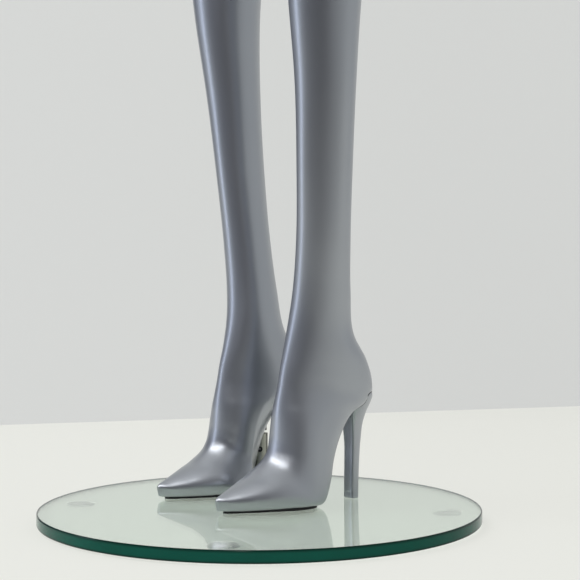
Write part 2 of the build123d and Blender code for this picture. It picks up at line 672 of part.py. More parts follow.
with BuildPart() as torso_shell:
    add(level_skin(TORSO))
    with Locations(spot(BUST_X, BUST_Y, BUST_Z), spot(-BUST_X, BUST_Y, BUST_Z)):
        add(bust)
    add(shoulders.part)
    split(bisect_by=Plane(origin=spot(0, 0, NECK_CUT)), keep=Keep.BOTTOM)
    split(bisect_by=Plane(origin=spot(0, 0, WAIST_CUT + SEAM)), keep=Keep.TOP)
    add(shoulder_seats.part, mode=Mode.SUBTRACT)
    with Locations(WAIST_FACE):
        add(slot_seat(WAIST), mode=Mode.SUBTRACT)
    with Locations(NECK_FACE):
        add(stud_seat(NECK), mode=Mode.SUBTRACT)
save(torso_shell, "torso_shell")

with BuildPart(WAIST_FACE) as torso_waist_plate:
    add(slot_plate(WAIST))
save(torso_waist_plate, "torso_waist_plate")

with BuildPart(NECK_FACE) as torso_neck_plate:
    add(stud_plate(NECK))
save(torso_neck_plate, "torso_neck_plate")

with BuildPart(SHOULDER_FACE) as left_shoulder_plate:
    add(stud_plate(SHOULDER_JOINT))
save(left_shoulder_plate, "left_shoulder_plate")

with BuildPart() as right_shoulder_plate:
    mirror(left_shoulder_plate.part, about=MIRROR)
save(right_shoulder_plate, "right_shoulder_plate")

with BuildPart() as torso_screws:
    with Locations(SHOULDER_FACE):
        add(screws(SHOULDER_JOINT))
    mirror(about=MIRROR)
    with Locations(WAIST_FACE):
        add(far_screws(WAIST))
    with Locations(NECK_FACE):
        add(screws(NECK))
save(torso_screws, "torso_screws")

# ---------------------------------------------------------------- head
with BuildPart() as head_shell:
    add(level_skin(HEAD))
    split(bisect_by=Plane(origin=spot(0, 0, NECK_CUT + SEAM)), keep=Keep.TOP)
    with Locations(NECK_FACE):
        add(slot_seat(NECK), mode=Mode.SUBTRACT)
save(head_shell, "head_shell")

with BuildPart(NECK_FACE) as head_neck_plate:
    add(slot_plate(NECK))
save(head_neck_plate, "head_neck_plate")

with BuildPart(NECK_FACE) as head_screws:
    add(far_screws(NECK))
save(head_screws, "head_screws")

# ---------------------------------------------------------------- arms and hands
for side, spread in SPREAD.items():
    wrist = wrist_face(spread)
    with BuildPart() as arm_shell:
        add(arm_skin([*UPPER_ARM, *from_wrist(FOREARM)], spread))
        with Locations(SHOULDER_FACE):
            add(slot_seat(SHOULDER_JOINT), mode=Mode.SUBTRACT)
        with Locations(wrist):
            add(stud_seat(WRIST), mode=Mode.SUBTRACT)
    with BuildPart(SHOULDER_FACE) as arm_shoulder_plate:
        add(slot_plate(SHOULDER_JOINT))
    with BuildPart(wrist) as arm_wrist_plate:
        add(stud_plate(WRIST))
    with BuildPart() as arm_screws:
        with Locations(SHOULDER_FACE):
            add(far_screws(SHOULDER_JOINT))
        with Locations(wrist):
            add(screws(WRIST))
    with BuildPart() as hand_shell:
        add(arm_skin(from_wrist(HAND), spread))
        for finger in FINGERS:
            add(finger_skin(*finger, spread))
        with Locations(wrist):
            add(slot_seat(WRIST), mode=Mode.SUBTRACT)
    with BuildPart(wrist) as hand_plate:
        add(slot_plate(WRIST))
    with BuildPart(wrist) as hand_screws:
        add(far_screws(WRIST))
    pieces = {"arm_shell": arm_shell, "arm_shoulder_plate": arm_shoulder_plate,
              "arm_wrist_plate": arm_wrist_plate, "arm_screws": arm_screws,
              "hand_shell": hand_shell, "hand_plate": hand_plate, "hand_screws": hand_screws}
    for name, piece in pieces.items():
        if side == "right":
            with BuildPart() as piece_on_right:
                mirror(piece.part, about=MIRROR)
            piece = piece_on_right
        save(piece, f"{side}_{name}")
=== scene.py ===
"""Looks of the full body mannequin: smooth painted shells, glass base, steel spigot, studio and camera."""

from math import cos, dist, hypot, pi, radians, sin

import bmesh
import bpy
from mathutils import Matrix, Vector
from mathutils.bvhtree import BVHTree


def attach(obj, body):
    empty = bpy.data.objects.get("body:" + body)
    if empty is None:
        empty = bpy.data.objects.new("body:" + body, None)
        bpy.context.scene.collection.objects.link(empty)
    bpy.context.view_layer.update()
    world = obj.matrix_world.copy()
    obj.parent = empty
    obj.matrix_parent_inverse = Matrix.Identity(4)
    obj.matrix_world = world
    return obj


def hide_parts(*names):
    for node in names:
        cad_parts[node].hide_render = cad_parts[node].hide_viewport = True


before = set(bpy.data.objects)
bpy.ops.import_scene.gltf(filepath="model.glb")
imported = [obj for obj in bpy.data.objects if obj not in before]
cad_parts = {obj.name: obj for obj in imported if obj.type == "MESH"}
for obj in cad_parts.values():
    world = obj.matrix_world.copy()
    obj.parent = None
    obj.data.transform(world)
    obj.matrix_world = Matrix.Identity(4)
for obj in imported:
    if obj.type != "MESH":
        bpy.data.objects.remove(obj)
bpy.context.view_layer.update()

# ---------------------------------------------------------------- sizes, millimetres as in the CAD
MM = 0.001                 # metres in a millimetre
UP, DOWN = Vector((0, 0, 1)), Vector((0, 0, -1))
MID_X = -38.0              # the figure's mid-plane
GLASS_R, GLASS_T = 225.0, 12.0
PAD_T = 2.0                # bumpers under the glass
GLASS_TOP = PAD_T + GLASS_T
ARRIS = 1.2                # rounded edge of the glass
SPIGOT = Vector((-105, 74, 0))    # where the spigot's axis meets the ground
SCREW_AXIS = Vector((0.819152, -0.573576, 0))
SCREW_Z = 56.5             # the set screw, over the ground
SOCKET_R = (1.1, 1.6)      # where the painted highlight in the screw's socket ends and its black ring begins
BUSH_HOLE = 11.05          # radius of the hole in the glass
POCKET_R = 12.0            # pocket in the right leg for the spigot's collar
POCKET_DEPTH = 63.0
HEEL_Y = 105.0             # leg and heel sections are measured ahead of this line
FOOT_CENTRE = 55.5         # from the mid-plane
HEEL_TIP_T = 6.0
SHOE_GAP = 0.2             # heel tips over the glass
THIGH_CUT, WAIST_CUT, NECK_CUT = 930.0, 1290.0, 1650.0
THIGH_X, THIGH_Y = 87.0, 40.0
WAIST_Y, NECK_Y = 22.5, 30.0
SEAM = 0.4                 # gap between the halves of a joint
LIP = 0.45                 # rounded edge of the leg at the thigh's cut
NECK_LIP = 0.6             # bevelled edge of the head at the neck's cut
SHOULDER_X, SHOULDER_Y, SHOULDER_Z = 146.0, 34.0, 1537.0
WRIST_X, WRIST_Y, WRIST_DROP = 31.2, -15.5, 505.0
SPREAD = {"left": 10.47, "right": 2.6}    # degrees the arms lean out
PLATE_T = 3.0              # fitting plate let into each side of a joint
SLOT_ROOM = 6.9            # depth of the studs' room behind a slotted plate, from the cut
SNUG = 0.05                # room round a plate

# leg sections: front end ahead of HEEL_Y and up, back end ahead and up, half widths outward and inward,
# share from front to back of the widest place, fullness of the front quarters, of the outer back quarter,
# of the inner back quarter, middle from the mid-plane, turn inward in degrees
HIP_TOP = [
    (116, 1262, 44, 1262, 16, 12, .48, .55, .55, .55, 64, 0),
    (136, 1240, 18, 1240, 40, 28, .48, .55, .55, .55, 66, 0),
]
HIP = [
    (150, 1205, -2, 1205, 60, 44, .48, .55, .55, .55, 70, 0),
    (163, 1155, -26, 1155, 76, 66, .48, .55, .55, .55, 79, 0),
    (170, 1105, -38, 1105, 82, 76, .48, .55, .55, .55, 82, 0),
    (167, 1055, -36, 1055, 83, 79, .48, .55, .55, .55, 83, 0),
    (156, 995, -26, 995, 79, 79, .48, .55, .55, .55, 85, 0),
]
THIGH = [
    (144, 930, -14, 930, 73, 75, .48, .55, .55, .55, 87, 0),
    (137, 880, -7, 880, 68, 69, .48, .55, .55, .55, 89, 1),
]
SHANK = [
    (129, 825, 0, 825, 61, 61, .48, .55, .55, .55, 91, 2),
    (121, 765, 6, 765, 52, 52, .48, .55, .55, .55, 93.5, 3),
    (114, 705, 11, 705, 45, 45, .50, .56, .55, .55, 95, 4),
    (108, 650, 12, 650, 42, 42, .50, .56, .55, .55, 94, 5),
    (103.5, 590, 14, 590, 38.5, 38.5, .50, .55, .55, .55, 91.5, 6.5),
    (98, 523, 19, 523, 32.5, 32.5, .48, .55, .55, .55, 88, 8),
    (86.5, 430, 21, 430, 26.5, 26.5, .48, .55, .55, .55, 82.5, 9.5),
    (80.3, 350, 19.5, 350, 23.2, 23.2, .48, .55, .55, .55, 76, 10.3),
    (75.3, 273, 16.5, 273, 22.8, 22.8, .46, .55, .55, .55, 68.4, 11),
    (75, 225, 12, 220, 23.5, 23.5, .45, .55, .55, .55, 62.7, 9),
    (78.2, 190, 4.5, 174, 25, 25, .45, .55, .55, .55, 58.7, 6),
    (84.5, 160, -15, 145, 26, 26, .45, .55, .55, .55, 57.6, 3.5),
    (90, 138, -24, 125, 26.6, 26, .48, .55, .55, .55, 56.7, 1),
    (93, 122, -24, 111, 27, 26.2, .49, .55, .62, .60, 56, 0),
    (95.8, 109, -11, 101, 28, 27, .50, .55, .76, .50, 55.7, 0),
    (98, 97, 9, 93, 29, 27.5, .50, .55, .87, .35, 55.5, 0),
    (99.8, 80, 30, 70, 31, 27.6, .52, .55, .95, .23, 55.5, 0),
    (101.3, 67, 40.8, 46, 33.2, 26.8, .56, .55, .95, .17, 55.2, 0),
    (104.5, 56.5, 47.5, 21, 35.3, 27, .62, .55, .95, .06, 55, 0),
    (111.5, 47, 58, 2.4, 37.2, 33, .68, .55, .95, .50, 55, 0),
    (122.5, 38.5, 75, 1.3, 38, 36.5, .74, .55, .95, .94, 55.2, 0),
    (137, 31, 108, 1.5, 31.5, 31.5, .72, .50, .95, .95, 55.5, 0),
    (151, 24.5, 134, 1.5, 21, 21, .62, .46, .95, .95, 55.5, 0),
    (163, 19, 155, 2, 10.5, 10.5, .48, .44, .95, .95, 55.5, 0),
    (169, 16, 165.3, 2.8, 4.6, 4.6, .30, .44, .90, .90, 55.5, 0),
    (170.8, 14.5, 168.5, 3.6, 2.2, 2.2, .30, .44, .90, .90, 55.5, 0),
]
# level sections: height, front, back, half width
TORSO = [
    (1690, -40, 80, 50),
    (1668, -23, 76, 49),
    (1646, -18, 77, 50),
    (1625, -20, 85, 57),
    (1600, -30, 97, 80),
    (1570, -45, 110, 112),
    (1530, -60, 120, 134),
    (1480, -69, 123, 136),
    (1430, -69, 118, 129),
    (1380, -63, 109, 118),
    (1335, -56, 101, 109),
    (1290, -53, 98, 107),
    (1250, -57, 103, 116),
]
PELVIS = [
    (1335, -56, 101, 109),
    (1290, -53, 98, 107),
    (1250, -57, 103, 116),
    (1205, -64, 114, 137),
    (1160, -69, 125, 152),
    (1118, -67, 124, 144),
    (1085, -58, 108, 108),
    (1062, -42, 84, 64),
    (1050, -24, 66, 32),
]
HEAD = [
    (1904, 23, 35, 6),
    (1902.5, 8, 49, 20),
    (1897, -14, 68, 38),
    (1884, -36, 92, 55),
    (1860, -55, 112, 68.5),
    (1820, -68, 122, 75.5),
    (1780, -72, 118, 75),
    (1742, -70, 104, 68),
    (1712, -60, 89, 57),
    (1690, -40, 80, 50),
    (1668, -23, 76, 49),
    (1646, -18, 77, 50),
    (1625, -20, 85, 57),
]
# arm sections, from the shoulder's centre: outer end across and up, inner end across and up, half depths
# to the front and back, middle in depth, share of the arm's spread
SHOULDER = [
    (-100, 86, -100, -20, 36, 36, 4, 0),
    (-62, 69, -62, -36, 43, 43, 2, 0),
    (-28, 57, -28, -47, 47, 47, 0, 0),
    (0, 50, 0, -51, 48, 48, 0, 0),
]
# beyond the shoulder's cut, where the form is sliced off
SHOULDER_END = (18, 47, 18, -52, 47, 47, 0, 0)
ARM = [
    (SEAM, 50, SEAM, -51, 48, 48, 0, 0),
    (27, 43, 2.5, -60, 47, 47, 0, .25),
    (48, 20, 3.5, -71, 45, 46, 0, .6),
    (60, -14, 3.5, -86, 43, 44, 0, 1),
    (66, -55, 3, -110, 41, 43, 0, 1),
    (68, -110, 2, -140, 39, 41, 1, 1),
    (66, -172, 3, -186, 37, 38, 2, 1),
    (62, -240, 6, -246, 34, 35, 3, 1),
    (61, -290, 8, -290, 33, 34, 2, 1),
    (63, -335, 6, -335, 37, 36, -2, 1),
    (60, -380, 7, -380, 36, 34, -5, 1),
    (54, -440, 10, -440, 31, 29, -10, 1),
    (49.5, -485, 13.5, -485, 27, 25, -14, 1),
    (48.5, -505, 14, -505, 26, 24, -15, 1),
]
# above the wrist's cut, where the form is sliced off
PALM_TOP = (49, -485, 13.5, -485, 26, 24, -14, 1)
HAND = [
    (48.5, -505 - SEAM, 14, -505 - SEAM, 26, 24, -15, 1),
    (47, -522, 15, -522, 27, 25.5, -16, 1),
    (44.5, -546, 16, -546, 33, 32, -19, 1),
    (43, -574, 17, -574, 38.5, 38, -22, 1),
    (42, -598, 18.5, -598, 40, 40, -24, 1),
    (39.5, -614, 21, -614, 38, 38, -25, 1),
]
# root from the shoulder's centre, direction, length, radius
FINGERS = [
    ((30, -54, -600), (-.06, -.06, -1), 74, 9.2),
    ((30, -35, -602), (-.07, -.02, -1), 84, 9.4),
    ((30, -16, -602), (-.09, .02, -1), 79, 9.2),
    ((30, 2.5, -598), (-.11, .06, -1), 66, 8.2),
    ((29, -44, -538), (-.10, -.42, -1), 76, 11.0),
]
# share of the length, share of the radius
FINGER_TAPER = [(0, 1), (.35, .98), (.65, .88), (.86, .78), (.95, .58), (1, .22)]
# heel sections: height, breast and back ahead of HEEL_Y, half width
HEEL = [
    (118, 12, -22, 20),
    (108, 11, -24.6, 22),
    (100, 9.5, -22.3, 18.5),
    (92, 7.8, -18.6, 14.5),
    (82, 5.4, -15, 11),
    (61, 3.2, -11.3, 8.8),
    (35, 3.4, -9.2, 8.1),
    (15, 3.8, -8.3, 8),
    (HEEL_TIP_T, 3.9, -8.1, 8),
]
HEEL_TIP = [
    (HEEL_TIP_T, 3.9, -8.1, 8),
    (SHOE_GAP, 4, -8, 8),
]
# fittings: radius of the plate, radius of the room behind a slotted plate
WAIST_FIT = (46, 32.7)
HIP_FIT = (44, 31.7)
NECK_FIT = (30, 22.2)
SHOULDER_FIT = (34, 23.7)
WRIST_FIT = (14.5, 10.5)

# lengths between the sections that a skin is drawn over
LEG_STEP, LIP_STEP, HIP_STEP, TRUNK_STEP, HEAD_STEP = 3.5, 0.5, 6, 8, 2.5
STUB_STEP, ARM_STEP, PALM_STEP, FINGER_STEP, HEEL_STEP, HEEL_SEAM_STEP = 6, 4, 3, 3, 2, 1

ROUND = (.55,) * 4         # fullness of a section's quarters that makes an ellipse

# how the skins are made
ARRIS_CURVE = [(1, 0), (.35, .3), (0, 1)]    # shares of the arris in from the rim and off the face
RIM_SIDES, HOLE_SIDES = 360, 72
DRUM_OVER, DRUM_SIDES = 4.0, 64              # how far a cutter stands out, and its sides
SKIN_ANGLE, GLASS_ANGLE = 35, 20             # degrees from which an edge is sharp
LIP_MIDDLE = 0.3                             # share of the lip by which its middle lies in and down
LIP_CLEAR = 1.0                              # from the lip to the next section, at least
BREAST_DEPTH = 4                             # from the heel's breast to its widest place
HEEL_FULLNESS = (.94, .94, .62, .62)
HEEL_SEAM_R = 0.42
BODY_VOXEL, HAND_VOXEL = 3.0, 1.3            # grain of the melted forms
PELVIS_ROUNDS, TORSO_ROUNDS, HAND_ROUNDS = 22, 26, 8
SOFT_ROUNDS, BUST_ROUNDS = 70, 8
PELVIS_SOFT = (960, 1275, 200)               # softened from this height to that, within this half width
TORSO_SOFT = (1310, 1640, 128)
FADE_UP, FADE_ACROSS = 20, 15                # the softening fades out over these
PELVIS_RIM = (6, 60)                         # over the thigh's cut, where the pelvis leaves the hip forms
BUST_X, BUST_Z, BUST_RISE = 54.0, 1446.0, 33.0
BUST_HALF, BUST_ABOVE, BUST_BELOW = 67.0, 112.0, 66.0
BUST_POWER = 1.6                             # a higher power makes a more pointed form
CROWN_RISE = 0.1                             # the most that the head's top rises over its highest section
CROWN_SHARES = (0.75, 0.5, 0.25)             # sizes of the rings that close the top
NECK_SHARE = 0.99                            # size of the head's cut face against its last section
HEEL_BEVEL, TIP_BEVEL = 0.15, 0.5
AIM = 10                                     # from the wrist down to a point that shows the arm's direction
RIM_MIDDLE = PAD_T + GLASS_T / 2
RIM_EVEN, RIM_EDGE = 2.5, 6.0                # painted shade darkens the rim between these, off its middle
BUMPER_CLEAR = 0.97                          # share of light that a bumper lets through


# ---------------------------------------------------------------- form tools
def spot(x, y, z):
    """The point x beside the figure's mid-plane, at y, and z over the glass."""
    return Vector((MID_X + x, y, GLASS_TOP + z))


def two_ends(row):
    return row[0:2], row[2:4]


def even_rows(rows, ends, step):
    """Rows at about even distances, on smooth curves through the given ones."""
    gaps = [max(dist(p, q) for p, q in zip(ends(a), ends(b))) for a, b in zip(rows, rows[1:])]
    rates = [[(q - p) / gap for p, q in zip(a, b)] for a, b, gap in zip(rows, rows[1:], gaps)]
    slopes = [rates[0]]
    for before, after, rate, next_rate in zip(gaps, gaps[1:], rates, rates[1:]):
        slopes.append([(p * after + q * before) / (before + after) for p, q in zip(rate, next_rate)])
    slopes.append(rates[-1])
    filled = []
    for gap, *ends_and_slopes in zip(gaps, rows, rows[1:], slopes, slopes[1:]):
        count = max(1, round(gap / step))
        for t in (k / count for k in range(count)):
            weights = (2 * t**3 - 3 * t**2 + 1, 3 * t**2 - 2 * t**3,
                       (t**3 - 2 * t**2 + t) * gap, (t**3 - t**2) * gap)
            filled.append([sum(w * v for w, v in zip(weights, column)) for column in zip(*ends_and_slopes)])
    return [*filled, list(rows[-1])]


def outline(origin, x_dir, y_dir, right, top, left, bottom, fullness, count=24):
    """Points of one closed section made of four Bezier quarters, count points to each."""
    right_top, left_top, left_bottom, right_bottom = fullness
    quarters = [
        ((right, 0), (right, right_top * top), (right_top * right, top), (0, top)),
        ((0, top), (-left_top * left, top), (-left, left_top * top), (-left, 0)),
        ((-left, 0), (-left, -left_bottom * bottom), (-left_bottom * left, -bottom), (0, -bottom)),
        ((0, -bottom), (right_bottom * right, -bottom), (right, -right_bottom * bottom), (right, 0)),
    ]
    points = []
    for quarter in quarters:
        for t in (i / count for i in range(count)):
            weights = ((1 - t)**3, 3 * t * (1 - t)**2, 3 * t * t * (1 - t), t**3)
            x, y = [sum(w * v for w, v in zip(weights, column)) for column in zip(*quarter)]
            points.append(origin + x_dir * x + y_dir * y)
    return points


def leg_ring(row):
    """The section of a leg or shoe that a row describes."""
    front, front_z, back, back_z, outer, inner, widest, upper, low_out, low_in, centre, turn = row
    mid = front + (back - front) * widest
    mid_z = front_z + (back_z - front_z) * widest
    across = Vector((cos(radians(turn)), -sin(radians(turn)), 0))
    ahead = Vector((-sin(radians(turn)), -cos(radians(turn)), 0))
    to_front = ahead * (front - mid) + Vector((0, 0, front_z - mid_z))
    to_back = hypot(mid - back, mid_z - back_z)
    return outline(spot(centre, HEEL_Y - mid, mid_z), across, to_front.normalized(),
                   outer, to_front.length, inner, to_back, (upper, upper, low_in, low_out))


def leg_rings(rows, step):
    return [leg_ring(row) for row in even_rows(rows, two_ends, step)]


def level_rings(rows, step):
    """Level sections of the trunk or head."""
    rows = even_rows(rows, lambda row: ((row[1], row[0]), (row[2], row[0]), (row[3], row[0])), step)
    rings = []
    for z, front, back, half in rows:
        reach = (back - front) / 2
        rings.append(outline(spot(0, (front + back) / 2, z), Vector((1, 0, 0)), Vector((0, -1, 0)),
                             half, reach, half, reach, ROUND))
    return rings


def arm_spot(x, y, z, spread, share=1.0):
    """The point of the left arm at x, y, z from the shoulder, once it leans out by a share of the spread."""
    tilt = radians(spread * share)
    return spot(SHOULDER_X + x * cos(tilt) - z * sin(tilt), SHOULDER_Y + y,
                SHOULDER_Z + x * sin(tilt) + z * cos(tilt))


def arm_rings(rows, spread, step):
    rings = []
    for outer_x, outer_z, inner_x, inner_z, front, back, y, share in even_rows(rows, two_ends, step):
        outer = arm_spot(outer_x, y, outer_z, spread, share)
        inner = arm_spot(inner_x, y, inner_z, spread, share)
        reach = (outer - inner).length / 2
        rings.append(outline((outer + inner) / 2, Vector((0, 1, 0)), (outer - inner).normalized(),
                             back, reach, front, reach, ROUND))
    return rings


def finger_rings(start, direction, length, radius, spread):
    root = arm_spot(*start, spread)
    tip = arm_spot(*[s + d * length for s, d in zip(start, direction)], spread)
    along = tip - root
    side = Vector((0, 1, 0))
    side = (side - along * (side.dot(along) / along.length_squared)).normalized()
    other = along.normalized().cross(side)
    rows = even_rows(FINGER_TAPER, lambda row: ((row[0] * length, row[1] * radius),), FINGER_STEP)
    return [outline(root + along * share, side, other, *(radius * size,) * 4, ROUND, count=8)
            for share, size in rows]


def circle(radius, count):
    return [(radius * cos(2 * pi * i / count), radius * sin(2 * pi * i / count)) for i in range(count)]


def centre_of(ring):
    return sum(ring, Vector()) / len(ring)


def drawn_in(ring, inset):
    """The same ring, nearer its centre by the inset."""
    middle = centre_of(ring)
    return [middle + (p - middle) * (1 - inset / (p - middle).length) for p in ring]


def scaled(ring, share, z):
    """The ring at a share of its size, level at the height."""
    middle = centre_of(ring)
    return [Vector((*(middle + (p - middle) * share).xy, z)) for p in ring]


def plate_steps(fit):
    """The recess that takes a fitting's plate, as steps of radius and depth."""
    return [(fit[0] + SNUG, 0), (fit[0] + SNUG, PLATE_T)]


def slot_steps(fit):
    """The same with the studs' room behind the plate."""
    return [*plate_steps(fit), (fit[1], PLATE_T), (fit[1], SLOT_ROOM)]


def recess_rings(ring, centre, inward, steps):
    """Rings that carry a flat cut face in to a round recess."""
    flat = [p - inward * (p - centre).dot(inward) for p in ring]
    rims = [(p - centre).normalized() for p in flat]
    return [[centre + rim * radius + inward * depth for rim in rims] for radius, depth in steps]


# ---------------------------------------------------------------- mesh tools
def placed(name, data):
    obj = bpy.data.objects.new(name, data)
    bpy.context.collection.objects.link(obj)
    return obj


def piece(name, rings, start=(), end=()):
    """A closed mesh over the rings, with cap rings before the first and after the last."""
    rings = [*reversed(list(start)), *rings, *end]
    count = len(rings[0])
    last = (len(rings) - 1) * count
    verts = [p * MM for ring in rings for p in ring]
    faces = []
    for near in range(0, last, count):
        far = near + count
        for i in range(count):
            j = (i + 1) % count
            faces.append((near + i, near + j, far + j, far + i))
    for ring, base in ((rings[0], 0), (rings[-1], last)):
        hub = len(verts)
        verts.append(centre_of(ring) * MM)
        for i in range(count):
            j = (i + 1) % count
            faces.append((base + i, base + j, hub) if base else (base + j, base + i, hub))
    mesh = bpy.data.meshes.new(name)
    mesh.from_pydata(verts, [], faces)
    face_out(mesh)
    return placed(name, mesh)


def face_out(mesh):
    """Turns all faces of a closed mesh outward."""
    bm = bmesh.new()
    bm.from_mesh(mesh)
    bmesh.ops.recalc_face_normals(bm, faces=bm.faces)
    bm.to_mesh(mesh)
    bm.free()
    mesh.update()


def mirrored(obj, name):
    """A copy on the other side of the figure's mid-plane."""
    mesh = obj.data.copy()
    for v in mesh.vertices:
        v.co.x = 2 * MID_X * MM - v.co.x
    mesh.flip_normals()
    return placed(name, mesh)


def moved_across(obj, name):
    """The object on the other side of the mid-plane instead."""
    other = mirrored(obj, name)
    bpy.data.objects.remove(obj)
    return other


def bake(obj):
    """Applies the object's modifiers."""
    graph = bpy.context.evaluated_depsgraph_get()
    graph.update()
    mesh = bpy.data.meshes.new_from_object(obj.evaluated_get(graph))
    old = obj.data
    obj.modifiers.clear()
    obj.data = mesh
    bpy.data.meshes.remove(old)


def joined(name, parts):
    bm = bmesh.new()
    for part in parts:
        bm.from_mesh(part.data)
    mesh = bpy.data.meshes.new(name)
    bm.to_mesh(mesh)
    bm.free()
    for part in parts:
        bpy.data.objects.remove(part)
    return placed(name, mesh)


def melt(obj, voxel, rounds):
    """Fuses the overlapping closed forms of the mesh into one smooth skin."""
    remesh = obj.modifiers.new("remesh", "REMESH")
    remesh.mode = "VOXEL"
    remesh.voxel_size = voxel * MM
    remesh.use_smooth_shade = True
    smoother = obj.modifiers.new("smooth", "SMOOTH")
    smoother.iterations = rounds
    smoother.factor = 0.5
    bake(obj)


def soften(obj, rounds, low, high, half):
    """Smooths the mesh further between two heights and within a half width, fading out towards them."""
    group = obj.vertex_groups.new(name="soft")
    for v in obj.data.vertices:
        place = v.co / MM - spot(0, 0, 0)
        inside = min(place.z - low, high - place.z) / FADE_UP
        weight = min(inside, (half - abs(place.x)) / FADE_ACROSS, 1)
        if weight > 0:
            group.add([v.index], weight, "REPLACE")
    smoother = obj.modifiers.new("smooth", "SMOOTH")
    smoother.iterations = rounds
    smoother.vertex_group = "soft"
    bake(obj)
    obj.vertex_groups.clear()


def surface_of(obj):
    return BVHTree.FromPolygons([v.co for v in obj.data.vertices], [p.vertices for p in obj.data.polygons])


def settle(obj, forms, low, high):
    """Brings the skin onto the forms' own surface up to the low height, fading out at the high one."""
    for v in obj.data.vertices:
        share = (high - v.co.z / MM + GLASS_TOP) / (high - low)
        if share > 0:
            near = min((form.find_nearest(v.co) for form in forms), key=lambda found: found[3])[0]
            share = min(share, 1)
            v.co = v.co.lerp(near, share * share * (3 - 2 * share))


def slice_off(obj, point, normal):
    """Cuts off what lies beyond the plane and closes the cut flat."""
    bm = bmesh.new()
    bm.from_mesh(obj.data)
    cut = bmesh.ops.bisect_plane(bm, geom=[*bm.verts, *bm.edges, *bm.faces], plane_co=point * MM,
                                 plane_no=normal, clear_outer=True)["geom_cut"]
    bmesh.ops.holes_fill(bm, edges=[e for e in cut if isinstance(e, bmesh.types.BMEdge)])
    bm.to_mesh(obj.data)
    bm.free()


def drum(centre, axis, radius, depth):
    """A cutter along the axis from just outside the face to the depth."""
    turn = axis.to_track_quat("Z", "Y").to_matrix()
    ends = [[centre + axis * reach + turn @ Vector((x, y, 0)) for x, y in circle(radius, DRUM_SIDES)]
            for reach in (-DRUM_OVER, depth)]
    return piece("cutter", ends)


def plate_cutter(centre, axis, fit):
    return drum(centre, axis, fit[0] + SNUG, PLATE_T)


def slot_cutters(centre, axis, fit):
    return [plate_cutter(centre, axis, fit), drum(centre, axis, fit[1], SLOT_ROOM)]


def bore(obj, cutters):
    for cutter in cutters:
        cut = obj.modifiers.new("cut", "BOOLEAN")
        cut.operation = "DIFFERENCE"
        cut.solver = "EXACT"
        cut.object = cutter
    bake(obj)
    for cutter in cutters:
        bpy.data.objects.remove(cutter)


def smooth(mesh, angle):
    """Smooth shading, with edges sharper than the angle kept sharp."""
    mesh.shade_smooth()
    mesh.set_sharp_from_angle(angle=radians(angle))


def dress(obj, body, node, look):
    """Finishes a piece: its shading, its look and the body it rides on, and hides the CAD node it stands
    for, if there is one.
    """
    smooth(obj.data, SKIN_ANGLE)
    obj.data.materials.clear()
    obj.data.materials.append(look)
    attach(obj, body)
    if node:
        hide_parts(node)


# ---------------------------------------------------------------- material tools
def wire(tree, node, inputs):
    """Gives each input of the node its value, or links it to another node's output."""
    for key, value in inputs.items():
        if isinstance(value, bpy.types.NodeSocket):
            tree.links.new(value, node.inputs[key])
        else:
            node.inputs[key].default_value = value


def add(tree, kind, inputs=None, **settings):
    """A new node with these inputs and settings. Returns its outputs."""
    node = tree.nodes.new(kind)
    for key, value in settings.items():
        setattr(node, key, value)
    wire(tree, node, inputs or {})
    return node.outputs


def maths(tree, operation, *values):
    return add(tree, "ShaderNodeMath", dict(enumerate(values)), operation=operation)[0]


def vector_maths(tree, operation, *values):
    return add(tree, "ShaderNodeVectorMath", dict(enumerate(values)), operation=operation)


def ranged(tree, value, start=0.0, end=1.0, low=0.0, high=1.0, kind="LINEAR"):
    """The value brought from between start and end to between low and high."""
    inputs = {"Value": value, "From Min": start, "From Max": end, "To Min": low, "To Max": high}
    return add(tree, "ShaderNodeMapRange", inputs, interpolation_type=kind)["Result"]


def mixed_color(tree, share, first, second):
    return add(tree, "ShaderNodeMixRGB", {"Fac": share, "Color1": first, "Color2": second})["Color"]


def mixed_shader(tree, share, first, second):
    return add(tree, "ShaderNodeMixShader", {0: share, 1: first, 2: second})["Shader"]


def object_place(tree):
    return add(tree, "ShaderNodeTexCoord")["Object"]


def noise(tree, scale, detail):
    inputs = {"Vector": object_place(tree), "Scale": scale, "Detail": detail}
    return add(tree, "ShaderNodeTexNoise", inputs)["Fac"]


def rays(tree):
    return add(tree, "ShaderNodeLightPath")


def bump(tree, height, strength, distance):
    inputs = {"Height": height, "Strength": strength, "Distance": distance}
    return add(tree, "ShaderNodeBump", inputs)["Normal"]


def new_material(name, inputs):
    """A material whose shader has these inputs: each is a value, or a function that builds its source."""
    mat = bpy.data.materials.new(name)
    mat.use_nodes = True
    tree = mat.node_tree
    shader = tree.nodes["Principled BSDF"]
    wire(tree, shader, {key: value(tree) if callable(value) else value for key, value in inputs.items()})
    return mat


# ---------------------------------------------------------------- materials
def pearl_paint():
    """Satin silver-grey pearl lacquer with fine flakes and a faint orange peel."""
    darker, paler = (0.385, 0.405, 0.440, 1), (0.415, 0.432, 0.460, 1)
    return new_material("pearl_silver_paint", {
        "Base Color": lambda tree: mixed_color(tree, noise(tree, 9.0, 2.0), darker, paler),
        "Roughness": lambda tree: ranged(tree, noise(tree, 2600.0, 1.0), low=0.29, high=0.39),
        "Normal": lambda tree: bump(tree, noise(tree, 340.0, 2.0), 0.035, 0.0004),
        "Metallic": 0.90,
        "Coat Weight": 0.25,
        "Coat Roughness": 0.22,
    })


def turned_steel(name, color, rough):
    return new_material(name, {
        "Base Color": (*color, 1),
        "Roughness": lambda tree: ranged(tree, noise(tree, 900.0, 2.0), low=rough * 0.8, high=rough * 1.25),
        "Metallic": 1.0,
    })


def rubber(name, color, rough):
    """Matt rubber with a fine grain."""
    return new_material(name, {
        "Base Color": (*color, 1),
        "Roughness": lambda tree: ranged(tree, noise(tree, 500.0, 3.0), low=rough - 0.05, high=rough + 0.08),
        "Normal": lambda tree: bump(tree, noise(tree, 500.0, 3.0), 0.2, 0.0002),
    })


